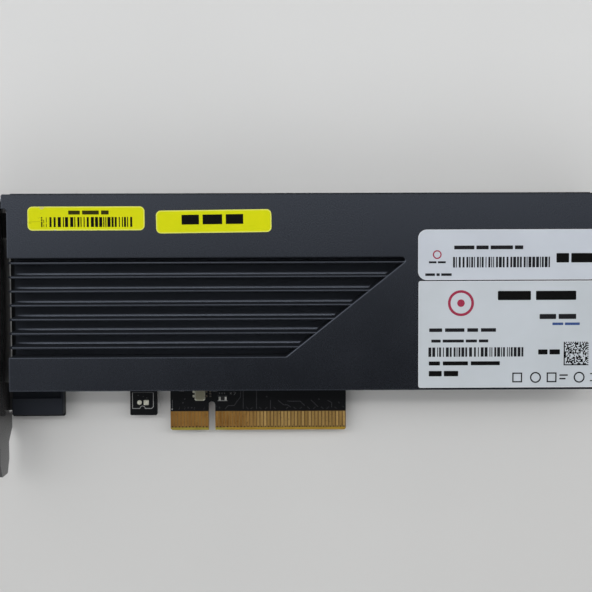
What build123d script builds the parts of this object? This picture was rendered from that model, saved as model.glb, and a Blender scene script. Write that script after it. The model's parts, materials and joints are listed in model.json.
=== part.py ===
from build123d import *
import os
from math import cos, sin, radians

os.makedirs("parts", exist_ok=True)

# ---------------------------------------------------------------------------
# Low-profile, half-length PCI Express add-in card: solid state drive.
#
# Card datum, used for every dimension below (millimetres):
#   x = 0 at the centre of the key notch, +x away from the I/O bracket
#   y = 0 at the lower end of the edge connector, +y towards the top edge
#   z = 0 at the outer face of the back plate, +z towards the heatsink's top
# The exported shapes are shifted to a frame whose origin is the middle of the
# overall box, on the plane that the card rests on.
# ---------------------------------------------------------------------------

# board
board_t = 1.57
board_left, board_right = -57.8, 109.85
board_top = 68.9
board_low = 14.6                 # lower main edge, behind the heatsink's edge
key_w, key_depth = 1.90, 8.45
tongue_left, tongue_right = -12.05, 39.05
lobe_right, lobe_low = -42.75, 4.40
tab_left, tab_right, tab_low = -23.75, -15.95, 4.50
bevel_h, bevel_d = 0.83, 0.48

# edge contacts, x8: 11 + 38 positions on each side
pitch = 1.00
contact_w, contact_t = 0.70, 0.05
contact_top = 5.48
first_group_x = [-1.5 - pitch * i for i in range(10, -1, -1)]
second_group_x = [1.5 + pitch * i for i in range(38)]

# stack heights
plate_t = 0.80
board_z0 = 2.67                  # solder side room of the card standard
board_z1 = board_z0 + board_t    # component face
heatsink_h = 14.20               # above the component face
top_z = board_z1 + heatsink_h

# heatsink
hs_left, hs_right = -55.32, 109.45
hs_low, hs_top = 13.55, 68.22
ear_left, ear_low, ear_r = -56.80, 64.25, 1.00
foot_left, foot_low, foot_h = -57.40, 5.20, 3.00
groove_low, groove_d = 9.98, 1.70  # groove in the foot along the heatsink's wall
edge_w, edge_h = 0.30, 0.11      # shallow slope round the top face
rim_w, rim_h = 0.26, 0.09        # and round the pocket
pocket_top, pocket_low = 50.62, 22.98
pocket_diag_low = (21.72, 22.98)
pocket_diag_high = (56.36, 50.62)
pocket_depth = 8.45
pocket_r = 0.85
fin_first, fin_pitch, fin_count = 49.20, 3.925, 7
fin_t_top, fin_t_base, fin_r = 0.50, 0.66, 0.20
fin_crown = 0.06                 # rounded top of the fins
fin_drop = 0.24                  # fins end this far under the top face
fin_end_c = 0.90                 # cut corner at the open end of each fin
roof_z = board_z1 + 4.0          # underside of the heatsink over the board
wall = 2.0

# bracket, low profile
br_x = -59.05                    # face towards the card
br_t = 0.86
br_low_z, br_w = board_z1 - 3.71, 18.42
br_end, br_top = -11.80, 67.40
tongue_w = 10.19
flange_l = 11.43
notch_w = 4.42
tab_x1 = -50.20
tab_t_z0 = board_z0 - br_t

# fasteners
cover_screws = [(-45.0, 63.4), (24.0, 63.4), (103.0, 63.4), (-45.0, 19.4), (46.0, 19.4), (103.0, 19.4)]
bracket_screws = [(-53.0, 8.35), (-53.0, 59.8)]
clear_r, shank_r, tapped_r = 1.45, 1.22, 1.25

# overall box in the card datum
x_min, x_max = br_x - flange_l, board_right
y_min, y_max = br_end, board_top
cx, cy = (x_min + x_max) / 2, (y_min + y_max) / 2


# ------------------------------- helpers -----------------------------------
def block(x0, x1, y0, y1, z0, z1):
    return Pos((x0 + x1) / 2, (y0 + y1) / 2, (z0 + z1) / 2) * Box(x1 - x0, y1 - y0, z1 - z0)


def rod(x, y, z0, z1, r):
    return Pos(x, y, (z0 + z1) / 2) * Cylinder(r, z1 - z0)


def prism(points, z0, z1):
    """Upright prism over a closed outline."""
    return Pos(0, 0, z0) * extrude(make_face(Polyline(*points, close=True)), z1 - z0)


def rounded_plate(x0, x1, y0, y1, z0, z1, r, turn=0.0):
    face = RectangleRounded(x1 - x0, y1 - y0, r)
    return Pos((x0 + x1) / 2, (y0 + y1) / 2, z0) * Rot(0, 0, turn) * extrude(face, z1 - z0)


def group(solids):
    return Compound(children=list(solids))


def save(shape, name):
    export_step(Pos(-cx, -cy, 0) * shape, "parts/" + name + ".step")


# ------------------------------ heatsink -----------------------------------
# One machined piece: a thick plate with walls down to the board, a fin pocket
# open towards the bracket, an ear at the upper left and a low foot on the
# board's lower left lobe.
outline = [(hs_left, hs_low), (hs_right, hs_low), (hs_right, hs_top), (ear_left, hs_top),
           (ear_left, ear_low), (hs_left, ear_low)]
plan = make_face(Polyline(*outline, close=True))
corners = plan.vertices()
plan = fillet([v for v in corners if abs(v.X - hs_left) < 0.01 and abs(v.Y - ear_low) < 0.01], ear_r)
plan = fillet([v for v in plan.vertices() if abs(v.X - hs_right) < 0.01 or
               (abs(v.X - ear_left) < 0.01 and v.Y > hs_top - 0.01)], 0.5)
body = Pos(0, 0, board_z1) * extrude(plan, heatsink_h)

pocket_floor = top_z - pocket_depth
pocket_plan = make_face(Polyline((hs_left - 5, pocket_low), pocket_diag_low, pocket_diag_high,
                                 (hs_left - 5, pocket_top), close=True))
pocket_plan = fillet([v for v in pocket_plan.vertices() if v.X > 0], pocket_r)
body -= Pos(0, 0, pocket_floor) * extrude(pocket_plan, pocket_depth + 1)
# pocket's rim: a shallow slope all round
rim = loft([Pos(0, 0, top_z - rim_h) * pocket_plan, Pos(0, 0, top_z + 0.001) * offset(pocket_plan, rim_w, kind=Kind.INTERSECTION)])
body -= rim
# outer edges of the top face: a shallow slope
top_face = body.faces().sort_by(Axis.Z)[-1]
outer = [e for e in top_face.edges() if not (hs_left - 6 < e.center().X < pocket_diag_high[0] + 0.5 and
                                             pocket_low - 1 < e.center().Y < pocket_top + 1)]
body = chamfer(outer, edge_w, edge_h, reference=top_face)

# fins, each with a rounded foot, run into the slanted wall
fin_top_z = top_z - fin_drop


def fin(y):
    b, t, r = fin_t_base / 2, fin_t_top / 2, fin_r
    z0, z1 = pocket_floor, fin_top_z - fin_crown
    k = r * (1 - sin(radians(45)))
    lines = [
        Line((y - b - r, z0 - 0.3), (y - b - r, z0)),
        ThreePointArc((y - b - r, z0), (y - b - k, z0 + k), (y - b, z0 + r)),
        Line((y - b, z0 + r), (y - t, z1)),
        ThreePointArc((y - t, z1), (y, z1 + fin_crown), (y + t, z1)),
        Line((y + t, z1), (y + b, z0 + r)),
        ThreePointArc((y + b, z0 + r), (y + b + k, z0 + k), (y + b + r, z0)),
        Line((y + b + r, z0), (y + b + r, z0 - 0.3)),
        Line((y + b + r, z0 - 0.3), (y - b - r, z0 - 0.3)),
    ]
    face = make_face(Wire(lines))
    return Pos(hs_left, 0, 0) * extrude(Plane.YZ * face, 120, dir=(1, 0, 0))


slope = (pocket_diag_high[1] - pocket_diag_low[1]) / (pocket_diag_high[0] - pocket_diag_low[0])
shift = 0.55                     # how far a fin's end sinks into the slanted wall
keep = prism([(hs_left, pocket_low), (pocket_diag_low[0] + shift, pocket_low),
              (pocket_diag_high[0] + shift, pocket_top), (hs_left, pocket_top)], pocket_floor - 0.4, top_z)
for i in range(fin_count):
    y = fin_first - fin_pitch * i
    body += fin(y) & keep
corner = make_face(Polyline((hs_left - 1, fin_top_z + 0.05), (hs_left + fin_end_c + 0.05, fin_top_z + 0.05),
                            (hs_left - 1, fin_top_z - fin_end_c - 1), close=True))
body -= Pos(0, pocket_top - 0.02, 0) * extrude(Plane.XZ * corner, pocket_top - pocket_low - 0.04)

# underside: room for the board's parts, left open at the edge connector
body -= block(hs_left + wall, hs_right - wall, hs_low + wall, hs_top - wall, board_z1 - 1, roof_z)
body -= block(-25.0, 41.0, hs_low - 1, hs_low + wall + 0.5, board_z1 - 1, roof_z)
body -= block(62.0, 96.0, 19.0, 60.0, roof_z - 0.5, top_z - 3.0)
body += block(-49.0, -3.0, 22.0, 60.0, roof_z - 1.8, roof_z + 0.5)      # over the flash packages
body += block(3.0, 22.0, 26.5, 45.5, roof_z - 1.0, roof_z + 0.5)        # over the controller
body += block(24.5, 43.0, 23.5, 51.5, roof_z - 1.8, roof_z + 0.5)       # over the working memory
body += block(hs_left + 0.5, -49.0, 56.0, hs_top - 1, board_z1, roof_z + 0.5)   # upper bracket screw
for x, y in cover_screws:
    body += rod(x, y, board_z1, roof_z + 0.5, 3.0)

# foot on the lower left lobe
foot = block(foot_left, lobe_right, foot_low, hs_low + 1.0, board_z1, board_z1 + foot_h)
foot = fillet(foot.edges().filter_by(Axis.Z).filter_by(lambda e: e.center().Y < 10), 0.26)
foot = chamfer([e for e in foot.edges().group_by(Axis.Z)[-1] if e.center().Y < hs_low], 0.20)
foot -= block(foot_left - 1, lobe_right - 0.42, groove_low, hs_low, board_z1 + foot_h - groove_d, board_z1 + foot_h + 1)
body += foot

# tapped holes
for x, y in cover_screws:
    body -= rod(x, y, board_z1 - 1, board_z1 + 5.8, tapped_r)
body -= rod(*bracket_screws[0], board_z1 - 1, board_z1 + 2.5, tapped_r)
body -= rod(*bracket_screws[1], board_z1 - 1, board_z1 + 2.5, tapped_r)
heatsink = body
save(heatsink, "heatsink")

# ---------------------------- circuit board --------------------------------
board_outline = [
    (board_left, lobe_low), (lobe_right, lobe_low), (lobe_right, board_low),
    (tab_left, board_low), (tab_left, tab_low), (tab_right, tab_low), (tab_right, board_low),
    (tongue_left, board_low), (tongue_left, 0), (tongue_right, 0), (tongue_right, board_low),
    (board_right, board_low), (board_right, board_top), (board_left, board_top),
]
board_plan = make_face(Polyline(*board_outline, close=True))
board_plan = fillet([v for v in board_plan.vertices()
                     if (v.Y < 5 and v.X < -15) or v.Y > 60 or (v.X > 100)], 0.35)
board_plan = chamfer([v for v in board_plan.vertices() if abs(v.Y) < 0.01], 0.45)
board = Pos(0, 0, board_z0) * extrude(board_plan, board_t)
key_r = key_w / 2
board -= block(-key_r, key_r, -1, key_depth - key_r, board_z0 - 1, board_z1 + 1)
board -= rod(0, key_depth - key_r, board_z0 - 1, board_z1 + 1, key_r)
for z, s in ((board_z1, -1), (board_z0, 1)):
    wedge = make_face(Polyline((-0.5, z + s * (bevel_d + bevel_d * 0.5 / bevel_h)), (bevel_h, z),
                               (bevel_h, z - s * 0.5), (-0.5, z - s * 0.5), close=True))
    board -= Pos(tongue_left - 1, 0, 0) * extrude(Plane.YZ * wedge, tongue_right - tongue_left + 2, dir=(1, 0, 0))
for x, y in cover_screws + bracket_screws:
    board -= rod(x, y, board_z0 - 1, board_z1 + 1, clear_r)
header_pins = [(-21.05, 8.23), (-19.08, 8.22)]
for x, y in header_pins:
    board -= rod(x, y, board_z0 - 1, board_z1 + 1, 0.45)
save(board, "circuit_board")

# ---------------------------- edge contacts --------------------------------
front, back = [], []
for i, x in enumerate(first_group_x + second_group_x):
    front.append(block(x - contact_w / 2, x + contact_w / 2, bevel_h + 0.02, contact_top,
                       board_z1, board_z1 + contact_t))
    # the presence contact at the bracket end is the short one on the solder side
    low = bevel_h + (1.3 if i == 0 else 0.02)
    back.append(block(x - contact_w / 2, x + contact_w / 2, low, contact_top,
                      board_z0 - contact_t, board_z0))
save(group(front), "edge_contacts_component_side")
save(group(back), "edge_contacts_solder_side")

# ------------------------ soldered pads on the tab -------------------------
# Two plated holes of an unfitted two-pin header, filled with solder.
pads = []
for i, (x, y) in enumerate(header_pins):
    if i == 0:
        top = Pos(x, y, board_z1) * extrude(Circle(0.68), 0.16)
    else:
        top = Pos(x, y, board_z1) * extrude(RectangleRounded(1.50, 1.50, 0.18), 0.16)
    top = fillet(top.edges().group_by(Axis.Z)[-1], 0.11)
    low = Pos(x, y, board_z0 - 0.12) * extrude(Circle(0.68), 0.12)
    one = top + low + rod(x, y, board_z0 - 0.05, board_z1 + 0.1, 0.45)
    one -= Pos(x, y - 0.22, board_z1 + 0.30) * Sphere(0.26)
    pads.append(one)
save(group(pads), "header_solder_joints")

# ------------------------------- bracket -----------------------------------
z0, z1 = br_low_z, br_low_z + br_w
zt0, zt1 = z0 + (br_w - tongue_w) / 2, z1 - (br_w - tongue_w) / 2
plate_pts = [(br_top - 1.0, z1), (0.57, z1), (-3.02, zt1), (-7.9, zt1), (br_end, zt1 - 2.0),
             (br_end, zt0 + 2.0), (-7.9, zt0), (-3.02, zt0), (0.57, z0), (br_top - 1.0, z0)]
plate_face = make_face(Polyline(*plate_pts, close=True))
plate_face = fillet([v for v in plate_face.vertices() if v.X < -5], 0.8)
bracket = Pos(br_x - br_t, 0, 0) * extrude(Plane.YZ * plate_face, br_t, dir=(1, 0, 0))


# top flange: turns outwards, away from the card
xo, xi = br_x, br_x - br_t
ro, ri = 1.26, 0.40
k = sin(radians(45))
flange_lines = [
    Line((xo, br_top - 4.0), (xo, br_top - ro)),
    ThreePointArc((xo, br_top - ro), (xo - ro + ro * k, br_top - ro + ro * k), (xo - ro, br_top)),
    Line((xo - ro, br_top), (x_min, br_top)),
    Line((x_min, br_top), (x_min, br_top - br_t)),
    Line((x_min, br_top - br_t), (xi - ri, br_top - br_t)),
    ThreePointArc((xi - ri, br_top - br_t), (xi - ri + ri * k, br_top - br_t - ri + ri * k), (xi, br_top - br_t - ri)),
    Line((xi, br_top - br_t - ri), (xi, br_top - 4.0)),
    Line((xi, br_top - 4.0), (xo, br_top - 4.0)),
]
bracket -= block(xi - 1, xo + 1, br_top - 2.5, br_top + 1, z0 - 1, z1 + 1)
bracket += Pos(0, 0, z0) * extrude(make_face(Wire(flange_lines)), br_w)
notch_x, notch_z = x_min + 4.40, z0 + 4.30
bracket -= block(notch_x - notch_w / 2, notch_x + notch_w / 2, br_top - 3, br_top + 1, z0 - 1, notch_z)
bracket -= Pos(notch_x, br_top - 0.5, notch_z) * Rot(90, 0, 0) * Cylinder(notch_w / 2, 4)
for zz, s in ((z0, 1), (z1, -1)):
    bracket -= Pos(0, br_top - 2, 0) * extrude(
        Plane.XZ.offset(0) * make_face(Polyline((x_min - 0.5, zz - s * 0.5), (x_min + 1.6, zz - s * 0.5),
                                                (x_min - 0.5, zz + s * 1.6), close=True)), -4)

# two mounting tabs under the board, with a bend relief on either side
tab_y = [(5.90, 14.00, 0.6, 0.2), (56.20, 63.40, 0.2, 0.6)]
for y0, y1, r0, r1 in tab_y:
    bracket -= block(xi - 1, xo + 1, y0 - r0, y1 + r1, z0 - 1, board_z0 + 0.9)
    bracket -= block(xi - 1, xo + 1, y0, y1, z0 - 1, board_z0 + 2.0)
    zt = tab_t_z0
    lines = [
        Line((xi, board_z0 + 3.0), (xi, zt + ro)),
        ThreePointArc((xi, zt + ro), (xi + ro - ro * k, zt + ro - ro * k), (xi + ro, zt)),
        Line((xi + ro, zt), (tab_x1, zt)),
        Line((tab_x1, zt), (tab_x1, zt + br_t)),
        Line((tab_x1, zt + br_t), (xo + ri, zt + br_t)),
        ThreePointArc((xo + ri, zt + br_t), (xo + ri - ri * k, zt + br_t + ri - ri * k), (xo, zt + br_t + ri)),
        Line((xo, zt + br_t + ri), (xo, board_z0 + 3.0)),
        Line((xo, board_z0 + 3.0), (xi, board_z0 + 3.0)),
    ]
    bracket += Pos(0, y1, 0) * extrude(Plane.XZ * make_face(Wire(lines)), y1 - y0)
for x, y in bracket_screws:
    bracket -= rod(x, y, 0, board_z0 + 0.5, 1.6)
save(bracket, "bracket")

# ------------------------------ back plate ---------------------------------
bp_plan = make_face(Polyline((-56.8, 15.2), (109.4, 15.2), (109.4, 68.0), (-47.0, 68.0), (-47.0, 55.8),
                             (-56.8, 55.8), close=True))
bp_plan = fillet([v for v in bp_plan.vertices() if abs(v.X + 47.0) > 0.1], 1.5)
plate = extrude(bp_plan, plate_t)
for x, y in cover_screws:
    plate += rod(x, y, 0.4, board_z0, 4.0)
for x, y in cover_screws:
    plate -= rod(x, y, -1, board_z0 - plate_t, 3.2)
    plate -= rod(x, y, -1, board_z0 + 1, clear_r)
save(plate, "back_plate")


# -------------------------------- screws -----------------------------------
def pan_screw(x, y, z_seat, length, head_r, head_h):
    """Pan-head screw, head down, shank up; z_seat is the face under the head."""
    head = rod(x, y, z_seat - head_h, z_seat, head_r)
    head = fillet(head.edges().group_by(Axis.Z)[0], head_h * 0.45)
    s = head + rod(x, y, z_seat - 0.2, z_seat + length, shank_r)
    s = chamfer(s.edges().group_by(Axis.Z)[-1], 0.3)
    for a in (0, 90):
        s -= Pos(x, y, z_seat - head_h) * Rot(0, 0, a + 20) * Box(head_r * 1.15, 0.55, head_h * 1.1)
    return s


save(group([pan_screw(x, y, board_z0 - plate_t, 7.4, 2.45, 1.35) for x, y in cover_screws]), "cover_screws")
save(group([pan_screw(x, y, tab_t_z0, 4.7, 2.3, 1.25) for x, y in bracket_screws]), "bracket_screws")


# --------------------------- parts on the board ----------------------------
def chip(x, y, w, h, t, r=0.15):
    c = block(x - w / 2, x + w / 2, y - h / 2, y + h / 2, board_z1, board_z1 + t)
    return chamfer(c.edges().group_by(Axis.Z)[-1], r)


def chip_back(x, y, w, h, t, r=0.12):
    c = block(x - w / 2, x + w / 2, y - h / 2, y + h / 2, board_z0 - t, board_z0)
    return chamfer(c.edges().group_by(Axis.Z)[0], r)


flash_t, flash_w, flash_h = 1.20, 12.0, 18.0
flash_front = [(x, y) for x in (-42.0, -26.0, -10.0) for y in (31.75, 51.0)]
flash_back = [(x, y) for x in (-34.0, -14.0, 6.0, 36.0, 56.0) for y in (31.5, 52.0)]
save(chip(12.5, 36.0, 17.0, 17.0, 2.0, 0.3), "controller_chip")
save(group([chip(x, y, flash_w, flash_h, flash_t) for x, y in flash_front]), "flash_packages_component_side")
save(group([chip_back(x, y, flash_w, flash_h - 1.0, flash_t) for x, y in flash_back]), "flash_packages_solder_side")
dram = [(x, y) for x in (29.0, 38.5) for y in (30.0, 44.5)]
save(group([chip(x, y, 8.0, 12.0, 1.1) for x, y in dram]), "working_memory_chips")
save(group([chip(54.0, y, 6.4, 6.4, 3.0, 0.5) for y in (25.0, 33.0, 41.0)]), "power_inductors")
save(group([chip(47.0, y, 5.0, 5.0, 0.9) for y in (27.0, 34.0, 41.0)]), "regulator_chips")
save(chip(8.0, 20.5, 6.0, 5.0, 1.6, 0.25), "firmware_memory_chip")
save(chip(22.0, 19.0, 3.2, 1.6, 0.9, 0.1), "input_fuse")


def hold_up(x, y):
    """Upright can capacitor on a square base with two cut corners."""
    z = board_z1
    base = prism([(x - 4.1, y - 4.1), (x + 2.6, y - 4.1), (x + 4.1, y - 2.6), (x + 4.1, y + 2.6),
                  (x + 2.6, y + 4.1), (x - 4.1, y + 4.1)], z, z + 1.4)
    can = rod(x, y, z + 1.0, z + 9.8, 3.9)
    can = fillet(can.edges().group_by(Axis.Z)[-1], 0.5)
    ring = rod(x, y, z + 2.3, z + 2.8, 4.5) - rod(x, y, z + 2.2, z + 2.9, 3.65)
    return base + can - ring


save(group([hold_up(x, y) for x in (68.0, 78.5, 89.0) for y in (24.5, 34.5, 44.5, 54.5)]), "hold_up_capacitors")

# clock oscillator by the key notch: ceramic body with castellated corners,
# three pads along each long side
ox, oy, ow, oh, ot = -3.40, 11.32, 3.05, 5.0, 1.10
osc = block(ox - ow / 2, ox + ow / 2, oy - oh / 2, oy + oh / 2, board_z1, board_z1 + ot)
for sx in (-1, 1):
    for sy in (-1, 1):
        osc -= rod(ox + sx * ow / 2, oy + sy * oh / 2, board_z1 - 1, board_z1 + ot + 1, 0.30)
for sx in (-1, 1):
    for dy in (-1.27, 0, 1.27):
        osc -= rod(ox + sx * (ow / 2 + 0.12), oy + dy, board_z1 - 1, board_z1 + ot + 1, 0.26)
osc = chamfer(osc.edges().group_by(Axis.Z)[-1], 0.06)
save(osc, "clock_oscillator")
osc_pads = []
for sx in (-1, 1):
    for dy in (-1.27, 0, 1.27):
        a, b = ox + sx * (ow / 2 + 0.02), ox + sx * (ow / 2 + 0.62)
        p = block(min(a, b), max(a, b), oy + dy - 0.34, oy + dy + 0.34, board_z1, board_z1 + 0.22)
        osc_pads.append(chamfer(p.edges().group_by(Axis.Z)[-1], 0.08))
save(group(osc_pads), "oscillator_solder_joints")


# small two-ended chip parts by the notch: body, and soldered ends
def two_ended(x, y, l, w, t, turn):
    b = Pos(x, y, board_z1) * Rot(0, 0, turn) * Pos(0, 0, t / 2 + 0.02) * Box(l * 0.56, w, t)
    ends = []
    for s in (-1, 1):
        e = Pos(x, y, board_z1) * Rot(0, 0, turn) * Pos(s * l * 0.42, 0, t * 0.53) * Box(l * 0.26, w, t * 1.06)
        ends.append(e)
    return b, ends


bodies, ends = [], []
for x, y, l, w, t, turn in ((0.02 + 3.15, 9.33, 2.05, 0.95, 0.55, 0), (-0.42, 10.35, 1.0, 0.5, 0.35, 90),
                            (-0.42, 11.75, 1.0, 0.5, 0.35, 90)):
    b, e = two_ended(x, y, l, w, t, turn)
    bodies.append(b)
    ends += e
save(group(bodies), "chip_part_bodies")
save(group(ends), "chip_part_ends")


# ------------------------------ thermal pads -------------------------------
def pad(x, y, w, h, z0, z1):
    return block(x - w / 2, x + w / 2, y - h / 2, y + h / 2, z0, z1)


save(pad(12.5, 36.0, 16.0, 16.0, board_z1 + 2.0, roof_z - 1.0), "controller_thermal_pad")
save(group([pad(x, y, 11.0, 16.5, board_z1 + flash_t, roof_z - 1.8) for x, y in flash_front]),
     "flash_thermal_pads_component_side")
save(group([pad(x, y, 11.0, 15.5, plate_t, board_z0 - flash_t) for x, y in flash_back]),
     "flash_thermal_pads_solder_side")
save(group([pad(x, y, 7.0, 11.0, board_z1 + 1.1, roof_z - 1.8) for x, y in dram]), "memory_thermal_pads")

# -------------------------------- stickers ---------------------------------
label_t = 0.10
save(rounded_plate(-49.45, -17.22, 58.25, 64.83, top_z, top_z + label_t, 1.35), "asset_sticker_left")
save(rounded_plate(-14.04, 17.78, 57.50, 63.80, top_z, top_z + label_t, 1.35, 0.62), "asset_sticker_right")
save(rounded_plate(58.37, 108.75, 44.22, 58.18, top_z, top_z + label_t, 2.4), "part_sticker")
save(rounded_plate(58.50, 108.60, 14.15, 43.92, top_z, top_z + label_t, 0.6), "rating_sticker")
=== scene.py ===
import json
import math
import random

import bpy
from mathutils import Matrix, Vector


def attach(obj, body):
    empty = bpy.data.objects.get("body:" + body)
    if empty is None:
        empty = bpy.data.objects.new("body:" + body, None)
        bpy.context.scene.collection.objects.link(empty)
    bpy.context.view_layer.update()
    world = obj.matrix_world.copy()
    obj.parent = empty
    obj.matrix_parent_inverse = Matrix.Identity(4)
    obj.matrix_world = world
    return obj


# ---------------------------------------------------------------------------
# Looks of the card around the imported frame. Lengths below are millimetres in
# the card's own datum (x from the key notch, y from the connector's end, z from
# the back plate's outer face); put() turns them into the shared frame's metres.
# ---------------------------------------------------------------------------
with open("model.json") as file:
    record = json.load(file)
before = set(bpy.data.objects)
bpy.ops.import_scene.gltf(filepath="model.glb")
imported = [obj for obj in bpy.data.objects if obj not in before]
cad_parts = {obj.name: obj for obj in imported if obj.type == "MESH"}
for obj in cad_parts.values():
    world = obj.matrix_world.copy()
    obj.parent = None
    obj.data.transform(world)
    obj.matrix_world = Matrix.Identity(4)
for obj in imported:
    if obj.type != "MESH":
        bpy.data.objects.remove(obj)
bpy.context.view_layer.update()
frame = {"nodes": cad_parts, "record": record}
nodes = frame["nodes"]

OX, OY = 19.685, 28.55
BACK_Z, BOARD_Z, TOP_Z, LABEL_Z = 2.67, 4.24, 18.44, 18.54


def put(x, y, z):
    return ((x - OX) / 1000, (y - OY) / 1000, z / 1000)


# ============================== node helpers ================================
class Mat:
    """A Principled material with short calls for the nodes it uses. Patterns are in millimetres of the shared frame."""

    def __init__(self, name, color=(0.5, 0.5, 0.5), rough=0.5, metal=0.0, spec=0.5, coat=0.0, coat_rough=0.2):
        self.m = bpy.data.materials.new(name)
        self.m.use_nodes = True
        self.nt = self.m.node_tree
        self.b = self.nt.nodes["Principled BSDF"]
        self.b.inputs["Base Color"].default_value = (*color, 1)
        self.b.inputs["Roughness"].default_value = rough
        self.b.inputs["Metallic"].default_value = metal
        self.b.inputs["Specular IOR Level"].default_value = spec
        self.b.inputs["Coat Weight"].default_value = coat
        self.b.inputs["Coat Roughness"].default_value = coat_rough
        self.m.diffuse_color = (*color, 1)
        self._mm = None
        self._xyz = None
        self._last_normal = None

    def node(self, kind, **kw):
        n = self.nt.nodes.new(kind)
        for k, v in kw.items():
            setattr(n, k, v)
        return n

    def link(self, a, b):
        self.nt.links.new(a, b)

    def mm(self):
        if self._mm is None:
            tc = self.node("ShaderNodeTexCoord")
            v = self.node("ShaderNodeVectorMath", operation="SCALE")
            v.inputs["Scale"].default_value = 1000.0
            self.link(tc.outputs["Object"], v.inputs[0])
            self._mm = v.outputs[0]
        return self._mm

    def xyz(self):
        """(x, y, z) outputs in the card datum's millimetres."""
        if self._xyz is None:
            add = self.node("ShaderNodeVectorMath", operation="ADD")
            add.inputs[1].default_value = (OX, OY, 0)
            self.link(self.mm(), add.inputs[0])
            s = self.node("ShaderNodeSeparateXYZ")
            self.link(add.outputs[0], s.inputs[0])
            self._xyz = (s.outputs[0], s.outputs[1], s.outputs[2])
        return self._xyz

    def normal_z(self):
        g = self.node("ShaderNodeNewGeometry")
        s = self.node("ShaderNodeSeparateXYZ")
        self.link(g.outputs["Normal"], s.inputs[0])
        return s.outputs[2]

    def stretched(self, sx, sy, sz):
        v = self.node("ShaderNodeVectorMath", operation="MULTIPLY")
        v.inputs[1].default_value = (sx, sy, sz)
        self.link(self.mm(), v.inputs[0])
        return v.outputs[0]

    def noise(self, scale, detail=2.0, rough=0.5, vec=None, distort=0.0):
        n = self.node("ShaderNodeTexNoise")
        n.inputs["Scale"].default_value = scale
        n.inputs["Detail"].default_value = detail
        n.inputs["Roughness"].default_value = rough
        n.inputs["Distortion"].default_value = distort
        self.link(vec if vec is not None else self.mm(), n.inputs["Vector"])
        return n.outputs["Fac"]

    def voronoi(self, scale, vec=None, feature="F1"):
        n = self.node("ShaderNodeTexVoronoi", feature=feature)
        n.inputs["Scale"].default_value = scale
        self.link(vec if vec is not None else self.mm(), n.inputs["Vector"])
        return n.outputs["Distance"]

    def cell(self, scale, vec=None):
        n = self.node("ShaderNodeTexVoronoi", feature="F1")
        n.inputs["Scale"].default_value = scale
        self.link(vec if vec is not None else self.mm(), n.inputs["Vector"])
        s = self.node("ShaderNodeSeparateXYZ")
        self.link(n.outputs["Color"], s.inputs[0])
        return s.outputs[0]

    def math(self, op, a, b=None, c=None, clamp=False):
        n = self.node("ShaderNodeMath", operation=op, use_clamp=clamp)
        for i, v in enumerate((a, b, c)):
            if v is None:
                continue
            if isinstance(v, (int, float)):
                n.inputs[i].default_value = v
            else:
                self.link(v, n.inputs[i])
        return n.outputs[0]

    def remap(self, v, a, b, c=0.0, d=1.0, smooth=False):
        n = self.node("ShaderNodeMapRange", interpolation_type="SMOOTHSTEP" if smooth else "LINEAR")
        n.inputs["From Min"].default_value = a
        n.inputs["From Max"].default_value = b
        n.inputs["To Min"].default_value = c
        n.inputs["To Max"].default_value = d
        self.link(v, n.inputs["Value"])
        return n.outputs["Result"]

    def mix(self, fac, a, b):
        n = self.node("ShaderNodeMix", data_type="RGBA")
        for i, v in ((0, fac), (6, a), (7, b)):
            if isinstance(v, (int, float)):
                n.inputs[i].default_value = v
            elif isinstance(v, tuple):
                n.inputs[i].default_value = (*v, 1)
            else:
                self.link(v, n.inputs[i])
        return n.outputs[2]

    def color(self, out):
        self.link(out, self.b.inputs["Base Color"])

    def rough(self, out):
        self.link(out, self.b.inputs["Roughness"])

    def metal(self, out):
        self.link(out, self.b.inputs["Metallic"])

    def bump(self, height, strength, distance_mm):
        n = self.node("ShaderNodeBump")
        n.inputs["Strength"].default_value = strength
        n.inputs["Distance"].default_value = distance_mm / 1000
        self.link(height, n.inputs["Height"])
        if self._last_normal is not None:
            self.link(self._last_normal, n.inputs["Normal"])
        self._last_normal = n.outputs["Normal"]
        self.link(self._last_normal, self.b.inputs["Normal"])

    def tint(self, r, g, b):
        self.b.inputs["Specular Tint"].default_value = (r, g, b, 1)
        return self

    def segment(self, x0, y0, x1, y1):
        """Distance (mm) to a line from (x0, y0) to (x1, y1)."""
        x, y, _ = self.xyz()
        ux, uy = x1 - x0, y1 - y0
        n = ux * ux + uy * uy
        px, py = self.math("SUBTRACT", x, x0), self.math("SUBTRACT", y, y0)
        t = self.math("ADD", self.math("MULTIPLY", px, ux / n), self.math("MULTIPLY", py, uy / n), clamp=True)
        dx = self.math("SUBTRACT", px, self.math("MULTIPLY", t, ux))
        dy = self.math("SUBTRACT", py, self.math("MULTIPLY", t, uy))
        return self.math("SQRT", self.math("ADD", self.math("MULTIPLY", dx, dx), self.math("MULTIPLY", dy, dy)))

    def rounded_box(self, cx, cy, w, h, r, turn=0.0):
        """Signed distance (mm) to a rounded rectangle, below zero inside."""
        x, y, _ = self.xyz()
        dx, dy = self.math("SUBTRACT", x, cx), self.math("SUBTRACT", y, cy)
        if turn:
            c, s = math.cos(math.radians(-turn)), math.sin(math.radians(-turn))
            rx = self.math("SUBTRACT", self.math("MULTIPLY", dx, c), self.math("MULTIPLY", dy, s))
            ry = self.math("ADD", self.math("MULTIPLY", dx, s), self.math("MULTIPLY", dy, c))
            dx, dy = rx, ry
        qx = self.math("SUBTRACT", self.math("ABSOLUTE", dx), w / 2 - r)
        qy = self.math("SUBTRACT", self.math("ABSOLUTE", dy), h / 2 - r)
        ox, oy = self.math("MAXIMUM", qx, 0.0), self.math("MAXIMUM", qy, 0.0)
        out = self.math("SQRT", self.math("ADD", self.math("MULTIPLY", ox, ox), self.math("MULTIPLY", oy, oy)))
        inside = self.math("MINIMUM", self.math("MAXIMUM", qx, qy), 0.0)
        return self.math("SUBTRACT", self.math("ADD", out, inside), r)


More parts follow.
